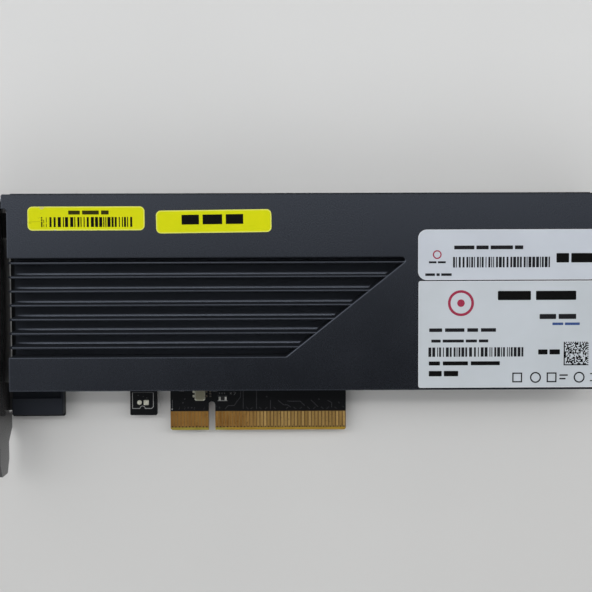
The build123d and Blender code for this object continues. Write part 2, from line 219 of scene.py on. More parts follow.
# ================================ materials =================================
def anodised(name, dark, light, rough, lines=False):
    """Blasted and dyed aluminium: soft cloudy tone, a fine grain and a satin sheen."""
    a = Mat(name, light, rough, spec=0.76).tint(0.72, 0.80, 0.98)
    cloud = a.noise(0.045, 3.0, 0.55)
    grain = a.noise(3.2, 2.0, 0.6)
    tone = a.math("ADD", a.remap(cloud, 0.3, 0.7, 0.0, 0.7), a.remap(grain, 0.3, 0.7, 0.0, 0.3))
    face = a.mix(tone, dark, light)
    if lines:
        # two small scuffs beside the left sticker that show bare metal
        for x0, y0, x1, y1 in ((-50.95, 61.02, -50.90, 60.95), (-50.92, 60.50, -50.78, 60.38)):
            face = a.mix(a.math("MULTIPLY", a.remap(a.segment(x0, y0, x1, y1), 0.22, 0.06), 0.8), face, (0.030, 0.042, 0.050))
    a.color(face)
    gloss = a.math("ADD", a.remap(cloud, 0.3, 0.7, rough - 0.02, rough + 0.02), a.remap(grain, 0.3, 0.7, -0.03, 0.03))
    a.bump(a.noise(6.5, 2.0, 0.6), 0.10, 0.006)
    if lines:
        # rougher below the top face, with faint cutter lines that run along the channels
        _, _, z = a.xyz()
        low = a.remap(z, TOP_Z - 0.6, TOP_Z - 0.9)
        gloss = a.math("ADD", gloss, a.math("MULTIPLY", low, 0.48))
        foot = a.remap(z, 8.7, 8.2)
        shine = a.math("SUBTRACT", a.math("ADD", a.math("MULTIPLY", low, 0.24), 0.76), a.math("MULTIPLY", foot, 0.42))
        a.link(shine, a.b.inputs["Specular IOR Level"])
        streak = a.noise(1.0, 3.0, 0.6, a.stretched(0.02, 7.0, 3.0))
        a.bump(a.math("MULTIPLY", streak, low), 0.25, 0.02)
    a.rough(gloss)
    return a.m


MAT = {}
MAT["heatsink"] = anodised("anodised_heatsink", (0.0012, 0.0013, 0.0018), (0.0024, 0.0025, 0.0034), 0.265, lines=True)
MAT["back_plate"] = anodised("anodised_back_plate", (0.0020, 0.0021, 0.0027), (0.0034, 0.0036, 0.0046), 0.34)


def bracket_steel():
    s = Mat("bracket_gloss_black", (0.06, 0.06, 0.06), 0.13, metal=0.0, spec=0.24)
    brushed = s.noise(1.0, 3.0, 0.65, s.stretched(8.0, 0.05, 8.0))
    cloud = s.noise(0.08, 2.0, 0.5)
    tone = s.math("ADD", s.remap(brushed, 0.3, 0.7, 0.0, 0.5), s.remap(cloud, 0.3, 0.7, 0.0, 0.5))
    s.color(s.mix(tone, (0.050, 0.049, 0.050), (0.068, 0.066, 0.067)))
    s.rough(s.remap(brushed, 0.25, 0.75, 0.10, 0.16))
    s.bump(brushed, 0.02, 0.003)
    return s.m


MAT["bracket"] = bracket_steel()


def board_material():
    """Black solder mask on top and below, bare laminate round the contacts, a filed bevel and sawn edges."""
    p = Mat("board_black_mask", (0.003, 0.003, 0.003), 0.30, spec=0.17).tint(0.90, 0.95, 1.0)
    x, y, z = p.xyz()
    nz = p.math("ABSOLUTE", p.normal_z())
    weave = p.noise(1.9, 2.0, 0.5, p.stretched(1.0, 1.0, 1.0))
    fine = p.noise(7.0, 2.0, 0.6)
    mask = p.mix(p.remap(weave, 0.35, 0.65), (0.0012, 0.0012, 0.0016), (0.0026, 0.0026, 0.0034))
    # laminate between the contacts
    tone = p.noise(0.22, 2.0, 0.5)
    laminate = p.mix(p.remap(tone, 0.35, 0.65), (0.225, 0.125, 0.034), (0.300, 0.180, 0.050))
    # towards the right the laminate between the contacts is painted darker: painted shade between the contacts
    laminate = p.mix(p.remap(x, 8.0, 16.0, 0.0, 0.75), laminate, (0.110, 0.062, 0.020))
    mid = p.math("ABSOLUTE", p.math("SUBTRACT", x, 13.5))
    in_tongue = p.math("MULTIPLY", p.remap(y, 5.64, 5.56), p.remap(mid, 25.60, 25.50))
    flat = p.mix(in_tongue, mask, laminate)
    # bevel: olive towards the bracket end, warmer and more orange past the first contacts of the long group
    warm = p.remap(x, 2.0, 7.0, 0.0, 1.0, smooth=True)
    strip = p.noise(1.0, 2.0, 0.5, p.stretched(0.35, 3.0, 3.0))
    olive = p.mix(p.remap(strip, 0.3, 0.7), (0.252, 0.203, 0.024), (0.355, 0.288, 0.044))
    amber = p.mix(p.remap(strip, 0.3, 0.7), (0.300, 0.175, 0.014), (0.420, 0.265, 0.028))
    bevel = p.mix(warm, olive, amber)
    is_bevel = p.math("MULTIPLY", p.math("MULTIPLY", p.remap(y, 0.90, 0.86), p.remap(mid, 25.60, 25.50)), p.remap(nz, 0.97, 0.94))
    face = p.mix(is_bevel, flat, bevel)
    # sawn edge: dark resin with pale glass ends
    fibre = p.noise(1.0, 2.0, 0.7, p.stretched(1.2, 1.2, 9.0))
    edge = p.mix(p.remap(fibre, 0.35, 0.7), (0.005, 0.0046, 0.0036), (0.020, 0.018, 0.013))
    is_edge = p.math("MULTIPLY", p.remap(nz, 0.5, 0.3), p.remap(y, 0.06, 0.10))
    p.color(p.mix(is_edge, face, edge))
    matt = p.math("MAXIMUM", p.math("MAXIMUM", is_bevel, is_edge), in_tongue)
    p.rough(p.math("ADD", p.remap(fine, 0.3, 0.7, 0.32, 0.38), p.math("MULTIPLY", matt, 0.25)))
    p.bump(weave, 0.10, 0.02)
    p.bump(fine, 0.05, 0.006)
    return p.m


MAT["board"] = board_material()


def gold_material():
    g = Mat("contact_gold", (0.6, 0.4, 0.15), 0.35, metal=1.0)
    x, y, z = g.xyz()
    per = g.noise(1.0, 1.0, 0.5, g.stretched(1.0, 0.05, 0.1))
    blot = g.noise(0.9, 3.0, 0.6)
    # towards the right the contacts are painted brighter and paler: a painted highlight
    right = g.remap(x, 8.0, 16.0, 0.0, 1.0, smooth=True)
    brown = g.mix(g.remap(per, 0.3, 0.7), (0.325, 0.154, 0.038), (0.465, 0.240, 0.064))
    painted_highlight_gold = g.mix(g.remap(per, 0.3, 0.7), (0.420, 0.250, 0.074), (0.720, 0.470, 0.170))
    tone = g.mix(right, brown, painted_highlight_gold)
    g.color(g.mix(g.remap(blot, 0.45, 0.75, 0.0, 0.35), tone, (0.30, 0.185, 0.07)))
    scratch = g.noise(1.0, 2.0, 0.7, g.stretched(12.0, 0.35, 1.0))
    g.rough(g.math("ADD", g.remap(blot, 0.3, 0.7, 0.26, 0.38), g.remap(scratch, 0.4, 0.7, 0.0, 0.08)))
    g.bump(scratch, 0.15, 0.004)
    return g.m


MAT["gold"] = gold_material()


def solder_material():
    s = Mat("solder_tin", (0.62, 0.62, 0.58), 0.32, metal=1.0)
    n = s.noise(4.0, 3.0, 0.6)
    x, y, z = s.xyz()
    tin = s.mix(s.remap(n, 0.35, 0.65), (0.50, 0.50, 0.46), (0.74, 0.74, 0.70))
    # the joints right of the oscillator are dull and brownish; the filled header pads carry a painted pale highlight,
    # and the joints between x -7 and -4 get the same pale, less metallic colour
    dull = s.math("MULTIPLY", s.math("MULTIPLY", s.remap(x, -2.75, -2.55), s.remap(x, 0.40, 0.20)), s.remap(z, BOARD_Z - 0.3, BOARD_Z - 0.1))
    tin = s.mix(dull, tin, s.mix(s.remap(n, 0.35, 0.65), (0.070, 0.058, 0.045), (0.170, 0.145, 0.115)))
    pale = s.math("MULTIPLY", s.remap(x, -16.6, -17.0), s.remap(z, BOARD_Z - 0.3, BOARD_Z - 0.1))
    left = s.math("MULTIPLY", s.math("MULTIPLY", s.remap(x, -7.0, -6.8), s.remap(x, -4.0, -4.2)), s.remap(z, BOARD_Z - 0.3, BOARD_Z - 0.1))
    # painted highlight: pale cream colour and less metal on these joints
    painted_pad_highlight = s.math("MAXIMUM", pale, left)
    tin = s.mix(painted_pad_highlight, tin, s.mix(s.remap(n, 0.35, 0.65), (0.52, 0.51, 0.42), (0.80, 0.79, 0.68)))
    s.color(tin)
    s.metal(s.remap(painted_pad_highlight, 0.0, 1.0, 1.0, 0.25))
    s.rough(s.remap(n, 0.3, 0.7, 0.24, 0.42))
    s.bump(s.noise(3.0, 2.0, 0.5), 0.35, 0.03)
    return s.m


MAT["solder"] = solder_material()


def screw_material():
    s = Mat("screw_black_zinc", (0.08, 0.08, 0.085), 0.36, metal=1.0)
    turned = s.voronoi(1.4)
    n = s.noise(2.6, 3.0, 0.6)
    s.color(s.mix(s.remap(n, 0.35, 0.65), (0.055, 0.055, 0.062), (0.13, 0.13, 0.14)))
    s.rough(s.math("ADD", s.remap(n, 0.3, 0.7, 0.28, 0.44), s.math("MULTIPLY", turned, 0.05)))
    s.bump(n, 0.15, 0.01)
    return s.m


MAT["screws"] = screw_material()


def epoxy_material(name, dark, light, rough):
    """Moulded epoxy: matt, with the fine eroded texture of its mould."""
    e = Mat(name, dark, rough, spec=0.4)
    n = e.noise(5.0, 3.0, 0.65)
    c = e.noise(0.3, 2.0, 0.5)
    e.color(e.mix(e.math("ADD", e.remap(n, 0.3, 0.7, 0, 0.5), e.remap(c, 0.3, 0.7, 0, 0.5)), dark, light))
    e.rough(e.remap(n, 0.3, 0.7, rough - 0.06, rough + 0.06))
    e.bump(n, 0.35, 0.015)
    return e.m


MAT["chip_black"] = epoxy_material("moulded_epoxy", (0.016, 0.016, 0.017), (0.030, 0.030, 0.032), 0.55)
MAT["chip_part_black"] = epoxy_material("chip_part_glaze", (0.012, 0.012, 0.013), (0.026, 0.025, 0.026), 0.32)
MAT["ferrite"] = epoxy_material("pressed_ferrite", (0.045, 0.044, 0.043), (0.085, 0.083, 0.080), 0.62)
MAT["ceramic_white"] = epoxy_material("white_ceramic", (0.62, 0.61, 0.56), (0.76, 0.75, 0.70), 0.42)


def can_material():
    c = Mat("drawn_aluminium_can", (0.75, 0.75, 0.76), 0.30, metal=1.0)
    _, _, z = c.xyz()
    lines = c.noise(1.0, 3.0, 0.6, c.stretched(0.5, 0.5, 9.0))
    base = c.remap(z, BOARD_Z + 1.46, BOARD_Z + 1.40)
    c.color(c.mix(base, c.mix(c.remap(lines, 0.3, 0.7), (0.66, 0.66, 0.68), (0.80, 0.80, 0.81)), (0.015, 0.015, 0.016)))
    c.rough(c.math("ADD", c.remap(lines, 0.3, 0.7, 0.24, 0.36), c.math("MULTIPLY", base, 0.25)))
    c.metal(c.math("SUBTRACT", 1.0, base))
    c.bump(lines, 0.10, 0.01)
    return c.m


MAT["capacitor_can"] = can_material()


def oscillator_material():
    """Fired ceramic package with a lid whose rim and plated corners are paler."""
    o = Mat("oscillator_ceramic", (0.20, 0.20, 0.15), 0.38, spec=0.5)
    d = o.rounded_box(-3.40, 11.32, 3.05, 5.0, 0.10)
    lid = o.rounded_box(-3.32, 11.36, 2.35, 4.30, 0.25)
    n = o.noise(4.0, 3.0, 0.6)
    ceramic = o.mix(o.remap(n, 0.3, 0.7), (0.182, 0.172, 0.112), (0.230, 0.218, 0.148))
    rim = o.mix(o.remap(n, 0.3, 0.7), (0.30, 0.30, 0.225), (0.38, 0.38, 0.30))
    on_rim = o.remap(lid, 0.0, 0.12)
    x, y, z = o.xyz()
    corner = o.math("MULTIPLY", o.remap(o.math("ABSOLUTE", o.math("SUBTRACT", x, -3.40)), 0.95, 1.25),
                    o.remap(o.math("ABSOLUTE", o.math("SUBTRACT", y, 11.32)), 1.95, 2.20))
    body = o.mix(on_rim, ceramic, rim)
    o.color(o.mix(corner, body, (0.62, 0.62, 0.56)))
    o.rough(o.remap(n, 0.3, 0.7, 0.32, 0.46))
    o.bump(o.remap(lid, -0.06, 0.06), 0.5, 0.02)
    o.bump(n, 0.2, 0.01)
    return o.m


MAT["oscillator_ceramic"] = oscillator_material()


def pad_material():
    t = Mat("soft_thermal_pad", (0.30, 0.33, 0.38), 0.75, spec=0.3)
    n = t.noise(1.6, 4.0, 0.65)
    speck = t.cell(3.0)
    t.color(t.mix(t.math("ADD", t.remap(n, 0.3, 0.7, 0, 0.7), t.remap(speck, 0.0, 1.0, 0.0, 0.3)), (0.24, 0.27, 0.32), (0.36, 0.39, 0.44)))
    t.rough(t.remap(n, 0.3, 0.7, 0.68, 0.82))
    t.bump(n, 0.4, 0.05)
    return t.m


MAT["thermal_pad"] = pad_material()

STICKERS = {  # centre x, centre y, width, height, corner radius, turn in degrees
    "asset_sticker_left": (-33.335, 61.54, 32.23, 6.58, 1.35, 0.0),
    "asset_sticker_right": (1.87, 60.65, 31.82, 6.30, 1.35, 0.62),
    "part_sticker": (83.56, 51.20, 50.38, 13.96, 2.4, 0.0),
    "rating_sticker": (83.55, 29.035, 50.10, 29.77, 0.6, 0.0),
}


def yellow_film(node, worn):
    """Printed yellow film: an even yellow field inside a paler unprinted rim, handled and creased if worn; the crease
    is a painted shade line.
    """
    cx, cy, w, h, r, turn = STICKERS[node]
    f = Mat("yellow_film_" + node, (0.72, 0.74, 0.004), 0.42, spec=0.10)
    d = f.rounded_box(cx, cy, w, h, r, turn)
    x, y, z = f.xyz()
    cloud = f.noise(0.16, 3.0, 0.6)
    fine = f.noise(4.5, 2.0, 0.6)
    field = f.mix(f.remap(cloud, 0.32, 0.68), (0.715, 0.745, 0.002), (0.765, 0.770, 0.003))
    rim = f.remap(d, -0.34, -0.16)
    tone = f.mix(rim, field, (0.870, 0.880, 0.170))
    if worn:
        # one crease drawn as a painted shade line with a darker spot at its outer end, a few faint scuffs, and a nick
        # in the upper edge
        wander = f.remap(f.noise(1.8, 2.0, 0.6), 0.3, 0.7, -0.06, 0.06)
        painted_crease_shade = f.math("ADD", f.segment(-49.05, 60.62, -46.00, 60.78), wander)
        tone = f.mix(f.math("MULTIPLY", f.remap(painted_crease_shade, 0.20, 0.04), 0.42), tone, (0.34, 0.34, 0.005))
        spot = f.math("ADD", f.segment(-48.95, 60.42, -48.60, 60.34), wander)
        tone = f.mix(f.math("MULTIPLY", f.remap(spot, 0.42, 0.12), 0.30), tone, (0.34, 0.34, 0.005))
        for x0, y0, x1, y1, r in ((-46.15, 61.90, -45.85, 61.72, 0.16), (-45.82, 63.02, -45.76, 62.94, 0.14),
                                  (-46.55, 61.78, -46.40, 61.60, 0.14), (-45.20, 61.20, -45.10, 61.00, 0.14)):
            tone = f.mix(f.math("MULTIPLY", f.remap(f.segment(x0, y0, x1, y1), r, r * 0.3), 0.30), tone, (0.30, 0.29, 0.01))
        nick = f.math("ADD", f.segment(-45.75, 64.42, -45.05, 64.62), f.math("MULTIPLY", wander, 2.5))
        tone = f.mix(f.math("MULTIPLY", f.remap(nick, 0.42, 0.16), 0.75), tone, (0.62, 0.50, 0.33))
        low = f.math("ADD", f.segment(-41.95, 58.30, -41.75, 58.32), wander)
        tone = f.mix(f.remap(low, 0.22, 0.10), tone, (0.74, 0.74, 0.55))
    f.color(tone)
    f.rough(f.remap(fine, 0.3, 0.7, 0.38, 0.48))
    f.bump(f.noise(0.5, 2.0, 0.5), 0.10, 0.03)
    f.bump(fine, 0.06, 0.004)
    return f.m


def white_film(node, tint_a, tint_b):
    cx, cy, w, h, r, turn = STICKERS[node]
    f = Mat("white_film_" + node, tint_b, 0.40, spec=0.35)
    d = f.rounded_box(cx, cy, w, h, r, turn)
    cloud = f.noise(0.07, 3.0, 0.55)
    fine = f.noise(4.0, 2.0, 0.6)
    field = f.mix(f.remap(cloud, 0.3, 0.7), tint_a, tint_b)
    rim = f.remap(d, -0.20, -0.04)
    f.color(f.mix(rim, field, (0.77, 0.78, 0.81)))
    f.rough(f.remap(fine, 0.3, 0.7, 0.36, 0.46))
    f.bump(f.noise(0.35, 2.0, 0.5), 0.10, 0.03)
    f.bump(fine, 0.05, 0.004)
    return f.m


NODE_MAT = {}
for s in frame["record"]["subparts"]:
    if s["node"] in nodes and s["material_slot"] in MAT:
        NODE_MAT[s["node"]] = MAT[s["material_slot"]]
NODE_MAT["asset_sticker_left"] = yellow_film("asset_sticker_left", True)
NODE_MAT["asset_sticker_right"] = yellow_film("asset_sticker_right", False)
NODE_MAT["part_sticker"] = white_film("part_sticker", (0.585, 0.620, 0.682), (0.625, 0.664, 0.726))
NODE_MAT["rating_sticker"] = white_film("rating_sticker", (0.565, 0.603, 0.637), (0.608, 0.647, 0.690))

for name, o in nodes.items():
    m = NODE_MAT[name]
    if not o.data.materials:
        o.data.materials.append(m)
    for slot in o.material_slots:
        slot.material = m


# =============================== mesh helpers ===============================
class Flat:
    """Thin closed prisms gathered into one mesh."""

    def __init__(self):
        self.v, self.f = [], []

    def poly(self, pts, z0, z1):
        area = sum(a[0] * b[1] - b[0] * a[1] for a, b in zip(pts, pts[1:] + pts[:1]))
        if area < 0:
            pts = pts[::-1]
        n, k = len(pts), len(self.v)
        self.v += [put(x, y, z0) for x, y in pts] + [put(x, y, z1) for x, y in pts]
        self.f.append([k + n + i for i in range(n)])
        self.f.append([k + i for i in range(n)][::-1])
        for i in range(n):
            j = (i + 1) % n
            self.f.append([k + i, k + j, k + n + j, k + n + i])

    def rect(self, x0, x1, y0, y1, z0, z1, r=0.0, steps=4):
        if r <= 0:
            return self.poly([(x0, y0), (x1, y0), (x1, y1), (x0, y1)], z0, z1)
        pts = []
        for cx, cy, a in ((x1 - r, y0 + r, -90), (x1 - r, y1 - r, 0), (x0 + r, y1 - r, 90), (x0 + r, y0 + r, 180)):
            for i in range(steps + 1):
                t = math.radians(a + 90 * i / steps)
                pts.append((cx + r * math.cos(t), cy + r * math.sin(t)))
        self.poly(pts, z0, z1)

    def disc(self, x, y, r, z0, z1, n=20):
        self.poly([(x + r * math.cos(2 * math.pi * i / n), y + r * math.sin(2 * math.pi * i / n)) for i in range(n)], z0, z1)

    def stroke(self, pts, w, z0, z1, closed=False):
        """A line of width w through pts, mitred at its corners; closed makes a loop."""
        n = len(pts)
        left, right = [], []
        for i, p in enumerate(pts):
            a = pts[(i - 1) % n] if (closed or i > 0) else None
            b = pts[(i + 1) % n] if (closed or i < n - 1) else None
            dirs = []
            for q, s in ((a, -1), (b, 1)):
                if q is not None:
                    d = Vector((q[0] - p[0], q[1] - p[1])) * s
                    dirs.append(d.normalized())
            t = sum(dirs, Vector((0, 0)))
            t = t.normalized() if t.length > 1e-6 else dirs[0]
            nrm = Vector((-t.y, t.x))
            seg = Vector((-dirs[0].y, dirs[0].x))
            m = min(w / 2 / max(nrm.dot(seg), 0.35), w)
            left.append((p[0] + nrm.x * m, p[1] + nrm.y * m))
            right.append((p[0] - nrm.x * m, p[1] - nrm.y * m))
        k = len(self.v)
        self.v += [put(*q, z0) for q in left] + [put(*q, z0) for q in right]
        self.v += [put(*q, z1) for q in left] + [put(*q, z1) for q in right]
        L0, R0, L1, R1 = (lambda i: k + i), (lambda i: k + n + i), (lambda i: k + 2 * n + i), (lambda i: k + 3 * n + i)
        for i in range(n if closed else n - 1):
            j = (i + 1) % n
            self.f.append([R1(i), R1(j), L1(j), L1(i)])
            self.f.append([L0(i), L0(j), R0(j), R0(i)])
            self.f.append([L1(i), L1(j), L0(j), L0(i)])
            self.f.append([R0(i), R0(j), R1(j), R1(i)])
        if not closed:
            self.f.append([L0(0), R0(0), R1(0), L1(0)])
            e = n - 1
            self.f.append([R0(e), L0(e), L1(e), R1(e)])

    def ring(self, x, y, r, w, z0, z1, n=28):
        self.stroke([(x + r * math.cos(2 * math.pi * i / n), y + r * math.sin(2 * math.pi * i / n)) for i in range(n)],
                    w, z0, z1, closed=True)

    def make(self, name, material):
        me = bpy.data.meshes.new(name)
        me.from_pydata(self.v, [], self.f)
        me.validate()
        me.update()
        o = bpy.data.objects.new(name, me)
        bpy.context.scene.collection.objects.link(o)
        me.materials.append(material)
        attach(o, "root")
        return o


def turned(pts, cx, cy, deg):
    c, s = math.cos(math.radians(deg)), math.sin(math.radians(deg))
    return [(cx + (x - cx) * c - (y - cy) * s, cy + (x - cx) * s + (y - cy) * c) for x, y in pts]


# ================================== print ===================================
def ink(name, color, rough=0.5, worn=False):
    """Thermal print: nearly black, slightly uneven, with tiny voids."""
    i = Mat(name, color, rough, spec=0.04)
    n = i.noise(5.0, 3.0, 0.7)
    lighter = tuple(min(1.0, c * 1.8 + 0.005) for c in color)
    i.color(i.mix(i.remap(n, 0.42, 0.72), color, lighter))
    i.rough(i.remap(n, 0.3, 0.7, rough - 0.05, rough + 0.07))
    i.bump(n, 0.10, 0.004)
    return i.m


INK_BLACK = ink("ink_black", (0.003, 0.003, 0.003))
INK_SOFT = ink("ink_soft_black", (0.012, 0.012, 0.014))
INK_OLIVE = ink("ink_on_yellow", (0.030, 0.028, 0.004))
INK_RED = ink("ink_crimson", (0.300, 0.030, 0.065))
INK_BLUE = ink("ink_blue", (0.040, 0.075, 0.210))
P0, P1 = LABEL_Z - 0.004, LABEL_Z + 0.018


def barcode(flat, x0, x1, y0, y1, module, seed, skip=()):
    """Generic upright bars of one to three modules; they encode nothing."""
    rnd = random.Random(seed)
    x = x0
    while x < x1 - module * 0.9:
        w = module * rnd.choice((1, 1, 2, 2, 3))
        w = min(w, x1 - x)
        if not any(a < x < b for a, b in skip):
            flat.rect(x, x + w, y0, y1, P0, P1)
        x += w + module * rnd.choice((1, 1, 1, 2, 2))


def words(flat, x0, y0, y1, widths, gap, r=0.12):
    """A row of plain rounded bars."""
    x = x0
    for w in widths:
        flat.rect(x, x + w, y0, y1, P0, P1, r)
        x += w + gap


# left yellow sticker: bars and one plain line; its worn end has broken bars
left = Flat()
barcode(left, -43.4, -20.15, 59.19, 61.93, 0.285, 11)
for x, cuts in ((-45.70, ((59.22, 60.70), (60.86, 61.35), (61.55, 61.96))), (-45.05, ((59.24, 59.9), (60.3, 61.2))),
                (-44.35, ((59.20, 60.15), (60.45, 61.90)))):
    w = 0.36 if x < -45.5 else 0.16
    for a, b in cuts:
        left.rect(x, x + w, a, b, P0, P1)
left.make("print_asset_left_bars", INK_BLACK)
line = Flat()
words(line, -38.2, 62.62, 63.72, (3.2, 4.6, 2.1), 0.62)
line.make("print_asset_left_line", INK_OLIVE)

# right yellow sticker: heavy plain blocks
bold = Flat()
for a, b in ((-7.0, -2.2), (-1.2, 4.2), (5.2, 10.0)):
    pts = turned([(a, 59.85), (b, 59.85), (b, 62.55), (a, 62.55)], 1.87, 60.65, 0.62)
    bold.poly(pts, P0, P1)
bold.make("print_asset_right_blocks", INK_BLACK)

# upper white sticker
up = Flat()
barcode(up, 68.05, 94.95, 47.65, 50.58, 0.265, 23)
up.make("print_part_bars", INK_SOFT)
up = Flat()
words(up, 68.35, 52.68, 53.72, (5.6, 3.4, 6.2, 2.3), 0.55)
words(up, 60.35, 45.35, 46.05, (2.7, 0.9, 2.9), 0.42, 0.08)
words(up, 61.35, 48.85, 49.40, (2.1, 2.2), 0.38, 0.08)
up.make("print_part_lines", INK_SOFT)
up = Flat()
words(up, 96.75, 48.95, 51.55, (3.5, 6.7), 0.62, 0.2)
up.make("print_part_blocks", INK_BLACK)
up = Flat()
up.ring(63.65, 51.25, 1.05, 0.34, P0, P1)
up.make("print_part_ring", INK_RED)

# lower white sticker
lo = Flat()
barcode(lo, 61.3, 88.02, 22.80, 25.42, 0.27, 37)
lo.make("print_rating_bars", INK_SOFT)
lo = Flat()
words(lo, 80.55, 38.55, 41.10, (9.2, 11.2), 1.4, 0.28)
words(lo, 91.9, 23.35, 24.75, (2.6, 2.9), 0.55, 0.12)
words(lo, 61.42, 20.40, 21.50, (3.1, 7.0, 8.1), 0.8, 0.12)
words(lo, 61.42, 17.35, 18.85, (3.6, 4.0), 0.6, 0.15)
lo.make("print_rating_blocks", INK_BLACK)
lo = Flat()
words(lo, 61.5, 29.75, 30.75, (3.6, 5.4, 3.0, 4.2), 0.8, 0.12)
words(lo, 62.1, 26.80, 27.60, (2.6, 5.9, 3.1, 2.6), 0.55, 0.1)
words(lo, 92.2, 33.25, 34.65, (4.6, 4.9), 0.7, 0.16)
lo.make("print_rating_lines", INK_SOFT)
lo = Flat()
words(lo, 95.8, 31.55, 32.25, (3.0, 4.1), 0.5, 0.1)
lo.make("print_rating_blue_line", INK_BLUE)
lo = Flat()
lo.ring(70.3, 37.75, 3.25, 0.72, P0, P1, n=48)
lo.disc(70.3, 37.75, 1.05, P0, P1, n=28)
lo.make("print_rating_ring", INK_RED)
lo = Flat()
for i, x in enumerate((86.1, 91.2, 95.7, 103.4)):
    y = 16.93
    if i % 2 == 0:
        lo.stroke([(x - 1.2, y - 1.2), (x + 1.2, y - 1.2), (x + 1.2, y + 1.2), (x - 1.2, y + 1.2)], 0.36, P0, P1, closed=True)
    else:
        lo.ring(x, y, 1.35, 0.38, P0, P1)
words(lo, 97.9, 17.35, 17.75, (2.3,), 0.3, 0.06)
words(lo, 97.9, 16.35, 16.75, (1.7,), 0.3, 0.06)
lo.rect(106.45, 107.85, 17.75, 18.08, P0, P1)
lo.rect(106.45, 107.85, 15.78, 16.11, P0, P1)
lo.make("print_rating_shapes", INK_SOFT)

# a square field of random cells; they encode nothing
lo = Flat()
rnd = random.Random(5)
n = 22
x0, x1, y0, y1 = 99.02, 105.95, 20.28, 26.88
cw, ch = (x1 - x0) / n, (y1 - y0) / n
for j in range(n):
    row = [1 if i == 0 or j == 0 else (i % 2 == 0 if j == n - 1 else (j % 2 == 0 if i == n - 1 else rnd.random() < 0.52))
           for i in range(n)]
    i = 0
    while i < n:
        if row[i]:
            k = i
            while k < n and row[k]:
                k += 1
            lo.rect(x0 + i * cw, x0 + k * cw, y0 + j * ch, y0 + (j + 1) * ch, P0, P1)
            i = k
        else:
            i += 1
lo.make("print_rating_cells", INK_BLACK)


# ============================ board: silk and copper ========================
def silk_material(name, color):
    s = Mat(name, color, 0.55, spec=0.3)
    n = s.noise(6.0, 3.0, 0.7)
    dim = tuple(c * 0.55 for c in color)
    s.color(s.mix(s.remap(n, 0.3, 0.7), dim, color))
    s.rough(s.remap(n, 0.3, 0.7, 0.5, 0.62))
    s.bump(n, 0.2, 0.006)
    return s.m


SILK = silk_material("silkscreen_white", (0.50, 0.50, 0.50))
SILK_DIM = silk_material("silkscreen_faint", (0.17, 0.17, 0.175))
B0, B1 = BOARD_Z - 0.004, BOARD_Z + 0.016

silk = Flat()
bump_pts = [(-20.165 + 0.755 * math.cos(math.radians(a)), 6.49 + 0.71 * math.sin(math.radians(a))) for a in range(180, -1, -20)]
silk.stroke([(-23.08, 11.15), (-23.08, 6.49)] + bump_pts + [(-17.50, 6.49), (-17.03, 6.96), (-17.03, 11.15)], 0.15, B0, B1)
silk.disc(-11.58, 6.22, 0.20, B0, B1)
silk.stroke([(1.72, 8.66), (4.48, 8.66)], 0.17, B0, B1)
silk.make("silkscreen_lines", SILK)
silk = Flat()
silk.stroke([(-22.9, 11.15), (-17.2, 11.15)], 0.10, B0, B1)
for x, y in ((-21.6, 10.3), (-20.1, 10.0), (-19.1, 9.55)):
    silk.stroke([(x, y), (x + 0.35, y)], 0.10, B0, B1)
silk.stroke([(-11.50, 8.92), (-11.51, 6.70)], 0.10, B0, B1)
silk.stroke([(-9.41, 11.52), (-8.07, 11.51)], 0.10, B0, B1)
silk.stroke([(-0.22, 12.9), (-0.22, 12.75)], 0.08, B0, B1)
silk.stroke([(0.25, 11.40), (1.60, 11.40)], 0.10, B0, B1)
silk.stroke([(1.72, 10.03), (4.50, 10.03)], 0.10, B0, B1)
for x in (2.25, 2.98, 3.73):
    silk.stroke([(x, 10.62), (x, 11.02)], 0.16, B0, B1)
silk.stroke([(5.25, 10.55), (5.75, 11.05)], 0.13, B0, B1)
silk.stroke([(5.25, 11.05), (5.75, 10.55)], 0.13, B0, B1)
silk.stroke([(6.45, 10.30), (7.05, 11.12)], 0.12, B0, B1)
silk.stroke([(6.30, 11.15), (6.90, 11.15)], 0.10, B0, B1)
silk.make("silkscreen_faint_marks", SILK_DIM)


def trace_material():
    t = Mat("covered_copper", (0.012, 0.012, 0.014), 0.32, spec=0.35)
    n = t.noise(3.5, 3.0, 0.6)
    t.color(t.mix(t.remap(n, 0.3, 0.7), (0.014, 0.014, 0.017), (0.032, 0.032, 0.038)))
    t.rough(t.remap(n, 0.3, 0.7, 0.30, 0.42))
    t.bump(n, 0.15, 0.006)
    return t.m


TRACE = trace_material()
T0, T1 = BOARD_Z - 0.004, BOARD_Z + 0.030
tr = Flat()
for pts in (
    [(8.37, 13.4), (8.37, 11.47), (8.36, 9.71), (6.45, 7.19), (4.7, 7.2), (3.82, 6.21)],
    [(9.15, 13.4), (9.15, 11.17), (9.12, 6.18)],
    [(13.02, 13.4), (13.02, 10.86), (13.0, 6.16)],
    [(17.09, 8.79), (17.08, 6.15)],
    [(19.28, 8.72), (20.87, 7.39), (22.1, 7.3), (23.0, 6.68)],
    [(21.9, 8.53), (22.48, 8.41), (25.75, 8.4), (27.05, 7.1)],
    [(28.84, 8.79), (30.93, 6.73)],
    [(33.76, 8.65), (34.93, 7.94), (34.93, 6.53)],
    [(38.11, 6.93), (38.63, 6.52)],
):
    tr.stroke(pts, 0.20, T0, T1)
for i, x in enumerate((10.35, 11.6, 14.08, 15.83, 18.3, 21.92, 24.14, 25.91, 28.19, 29.88, 32.19, 33.76, 36.07)):
    s = 1 if i % 2 else -1
    tr.stroke([(x - 0.32, 6.42 - s * 0.28), (x + 0.32, 6.42 + s * 0.28)], 0.16, T0, T1)
for x in (-9.6, -8.0, -5.2, -2.4):
    tr.stroke([(x, 6.1), (x + 0.25, 6.75)], 0.14, T0, T1)
tr.make("covered_traces", TRACE)
via = Flat()
for x, y in ((37.06, 7.93), (-7.9, 9.2), (-8.4, 8.1), (-5.9, 6.6), (-6.9, 6.6), (1.2, 7.0), (2.2, 6.6), (31.2, 9.0), (16.0, 9.8)):
    via.ring(x, y, 0.17, 0.12, T0, T1, n=14)
via.make("covered_vias", TRACE)


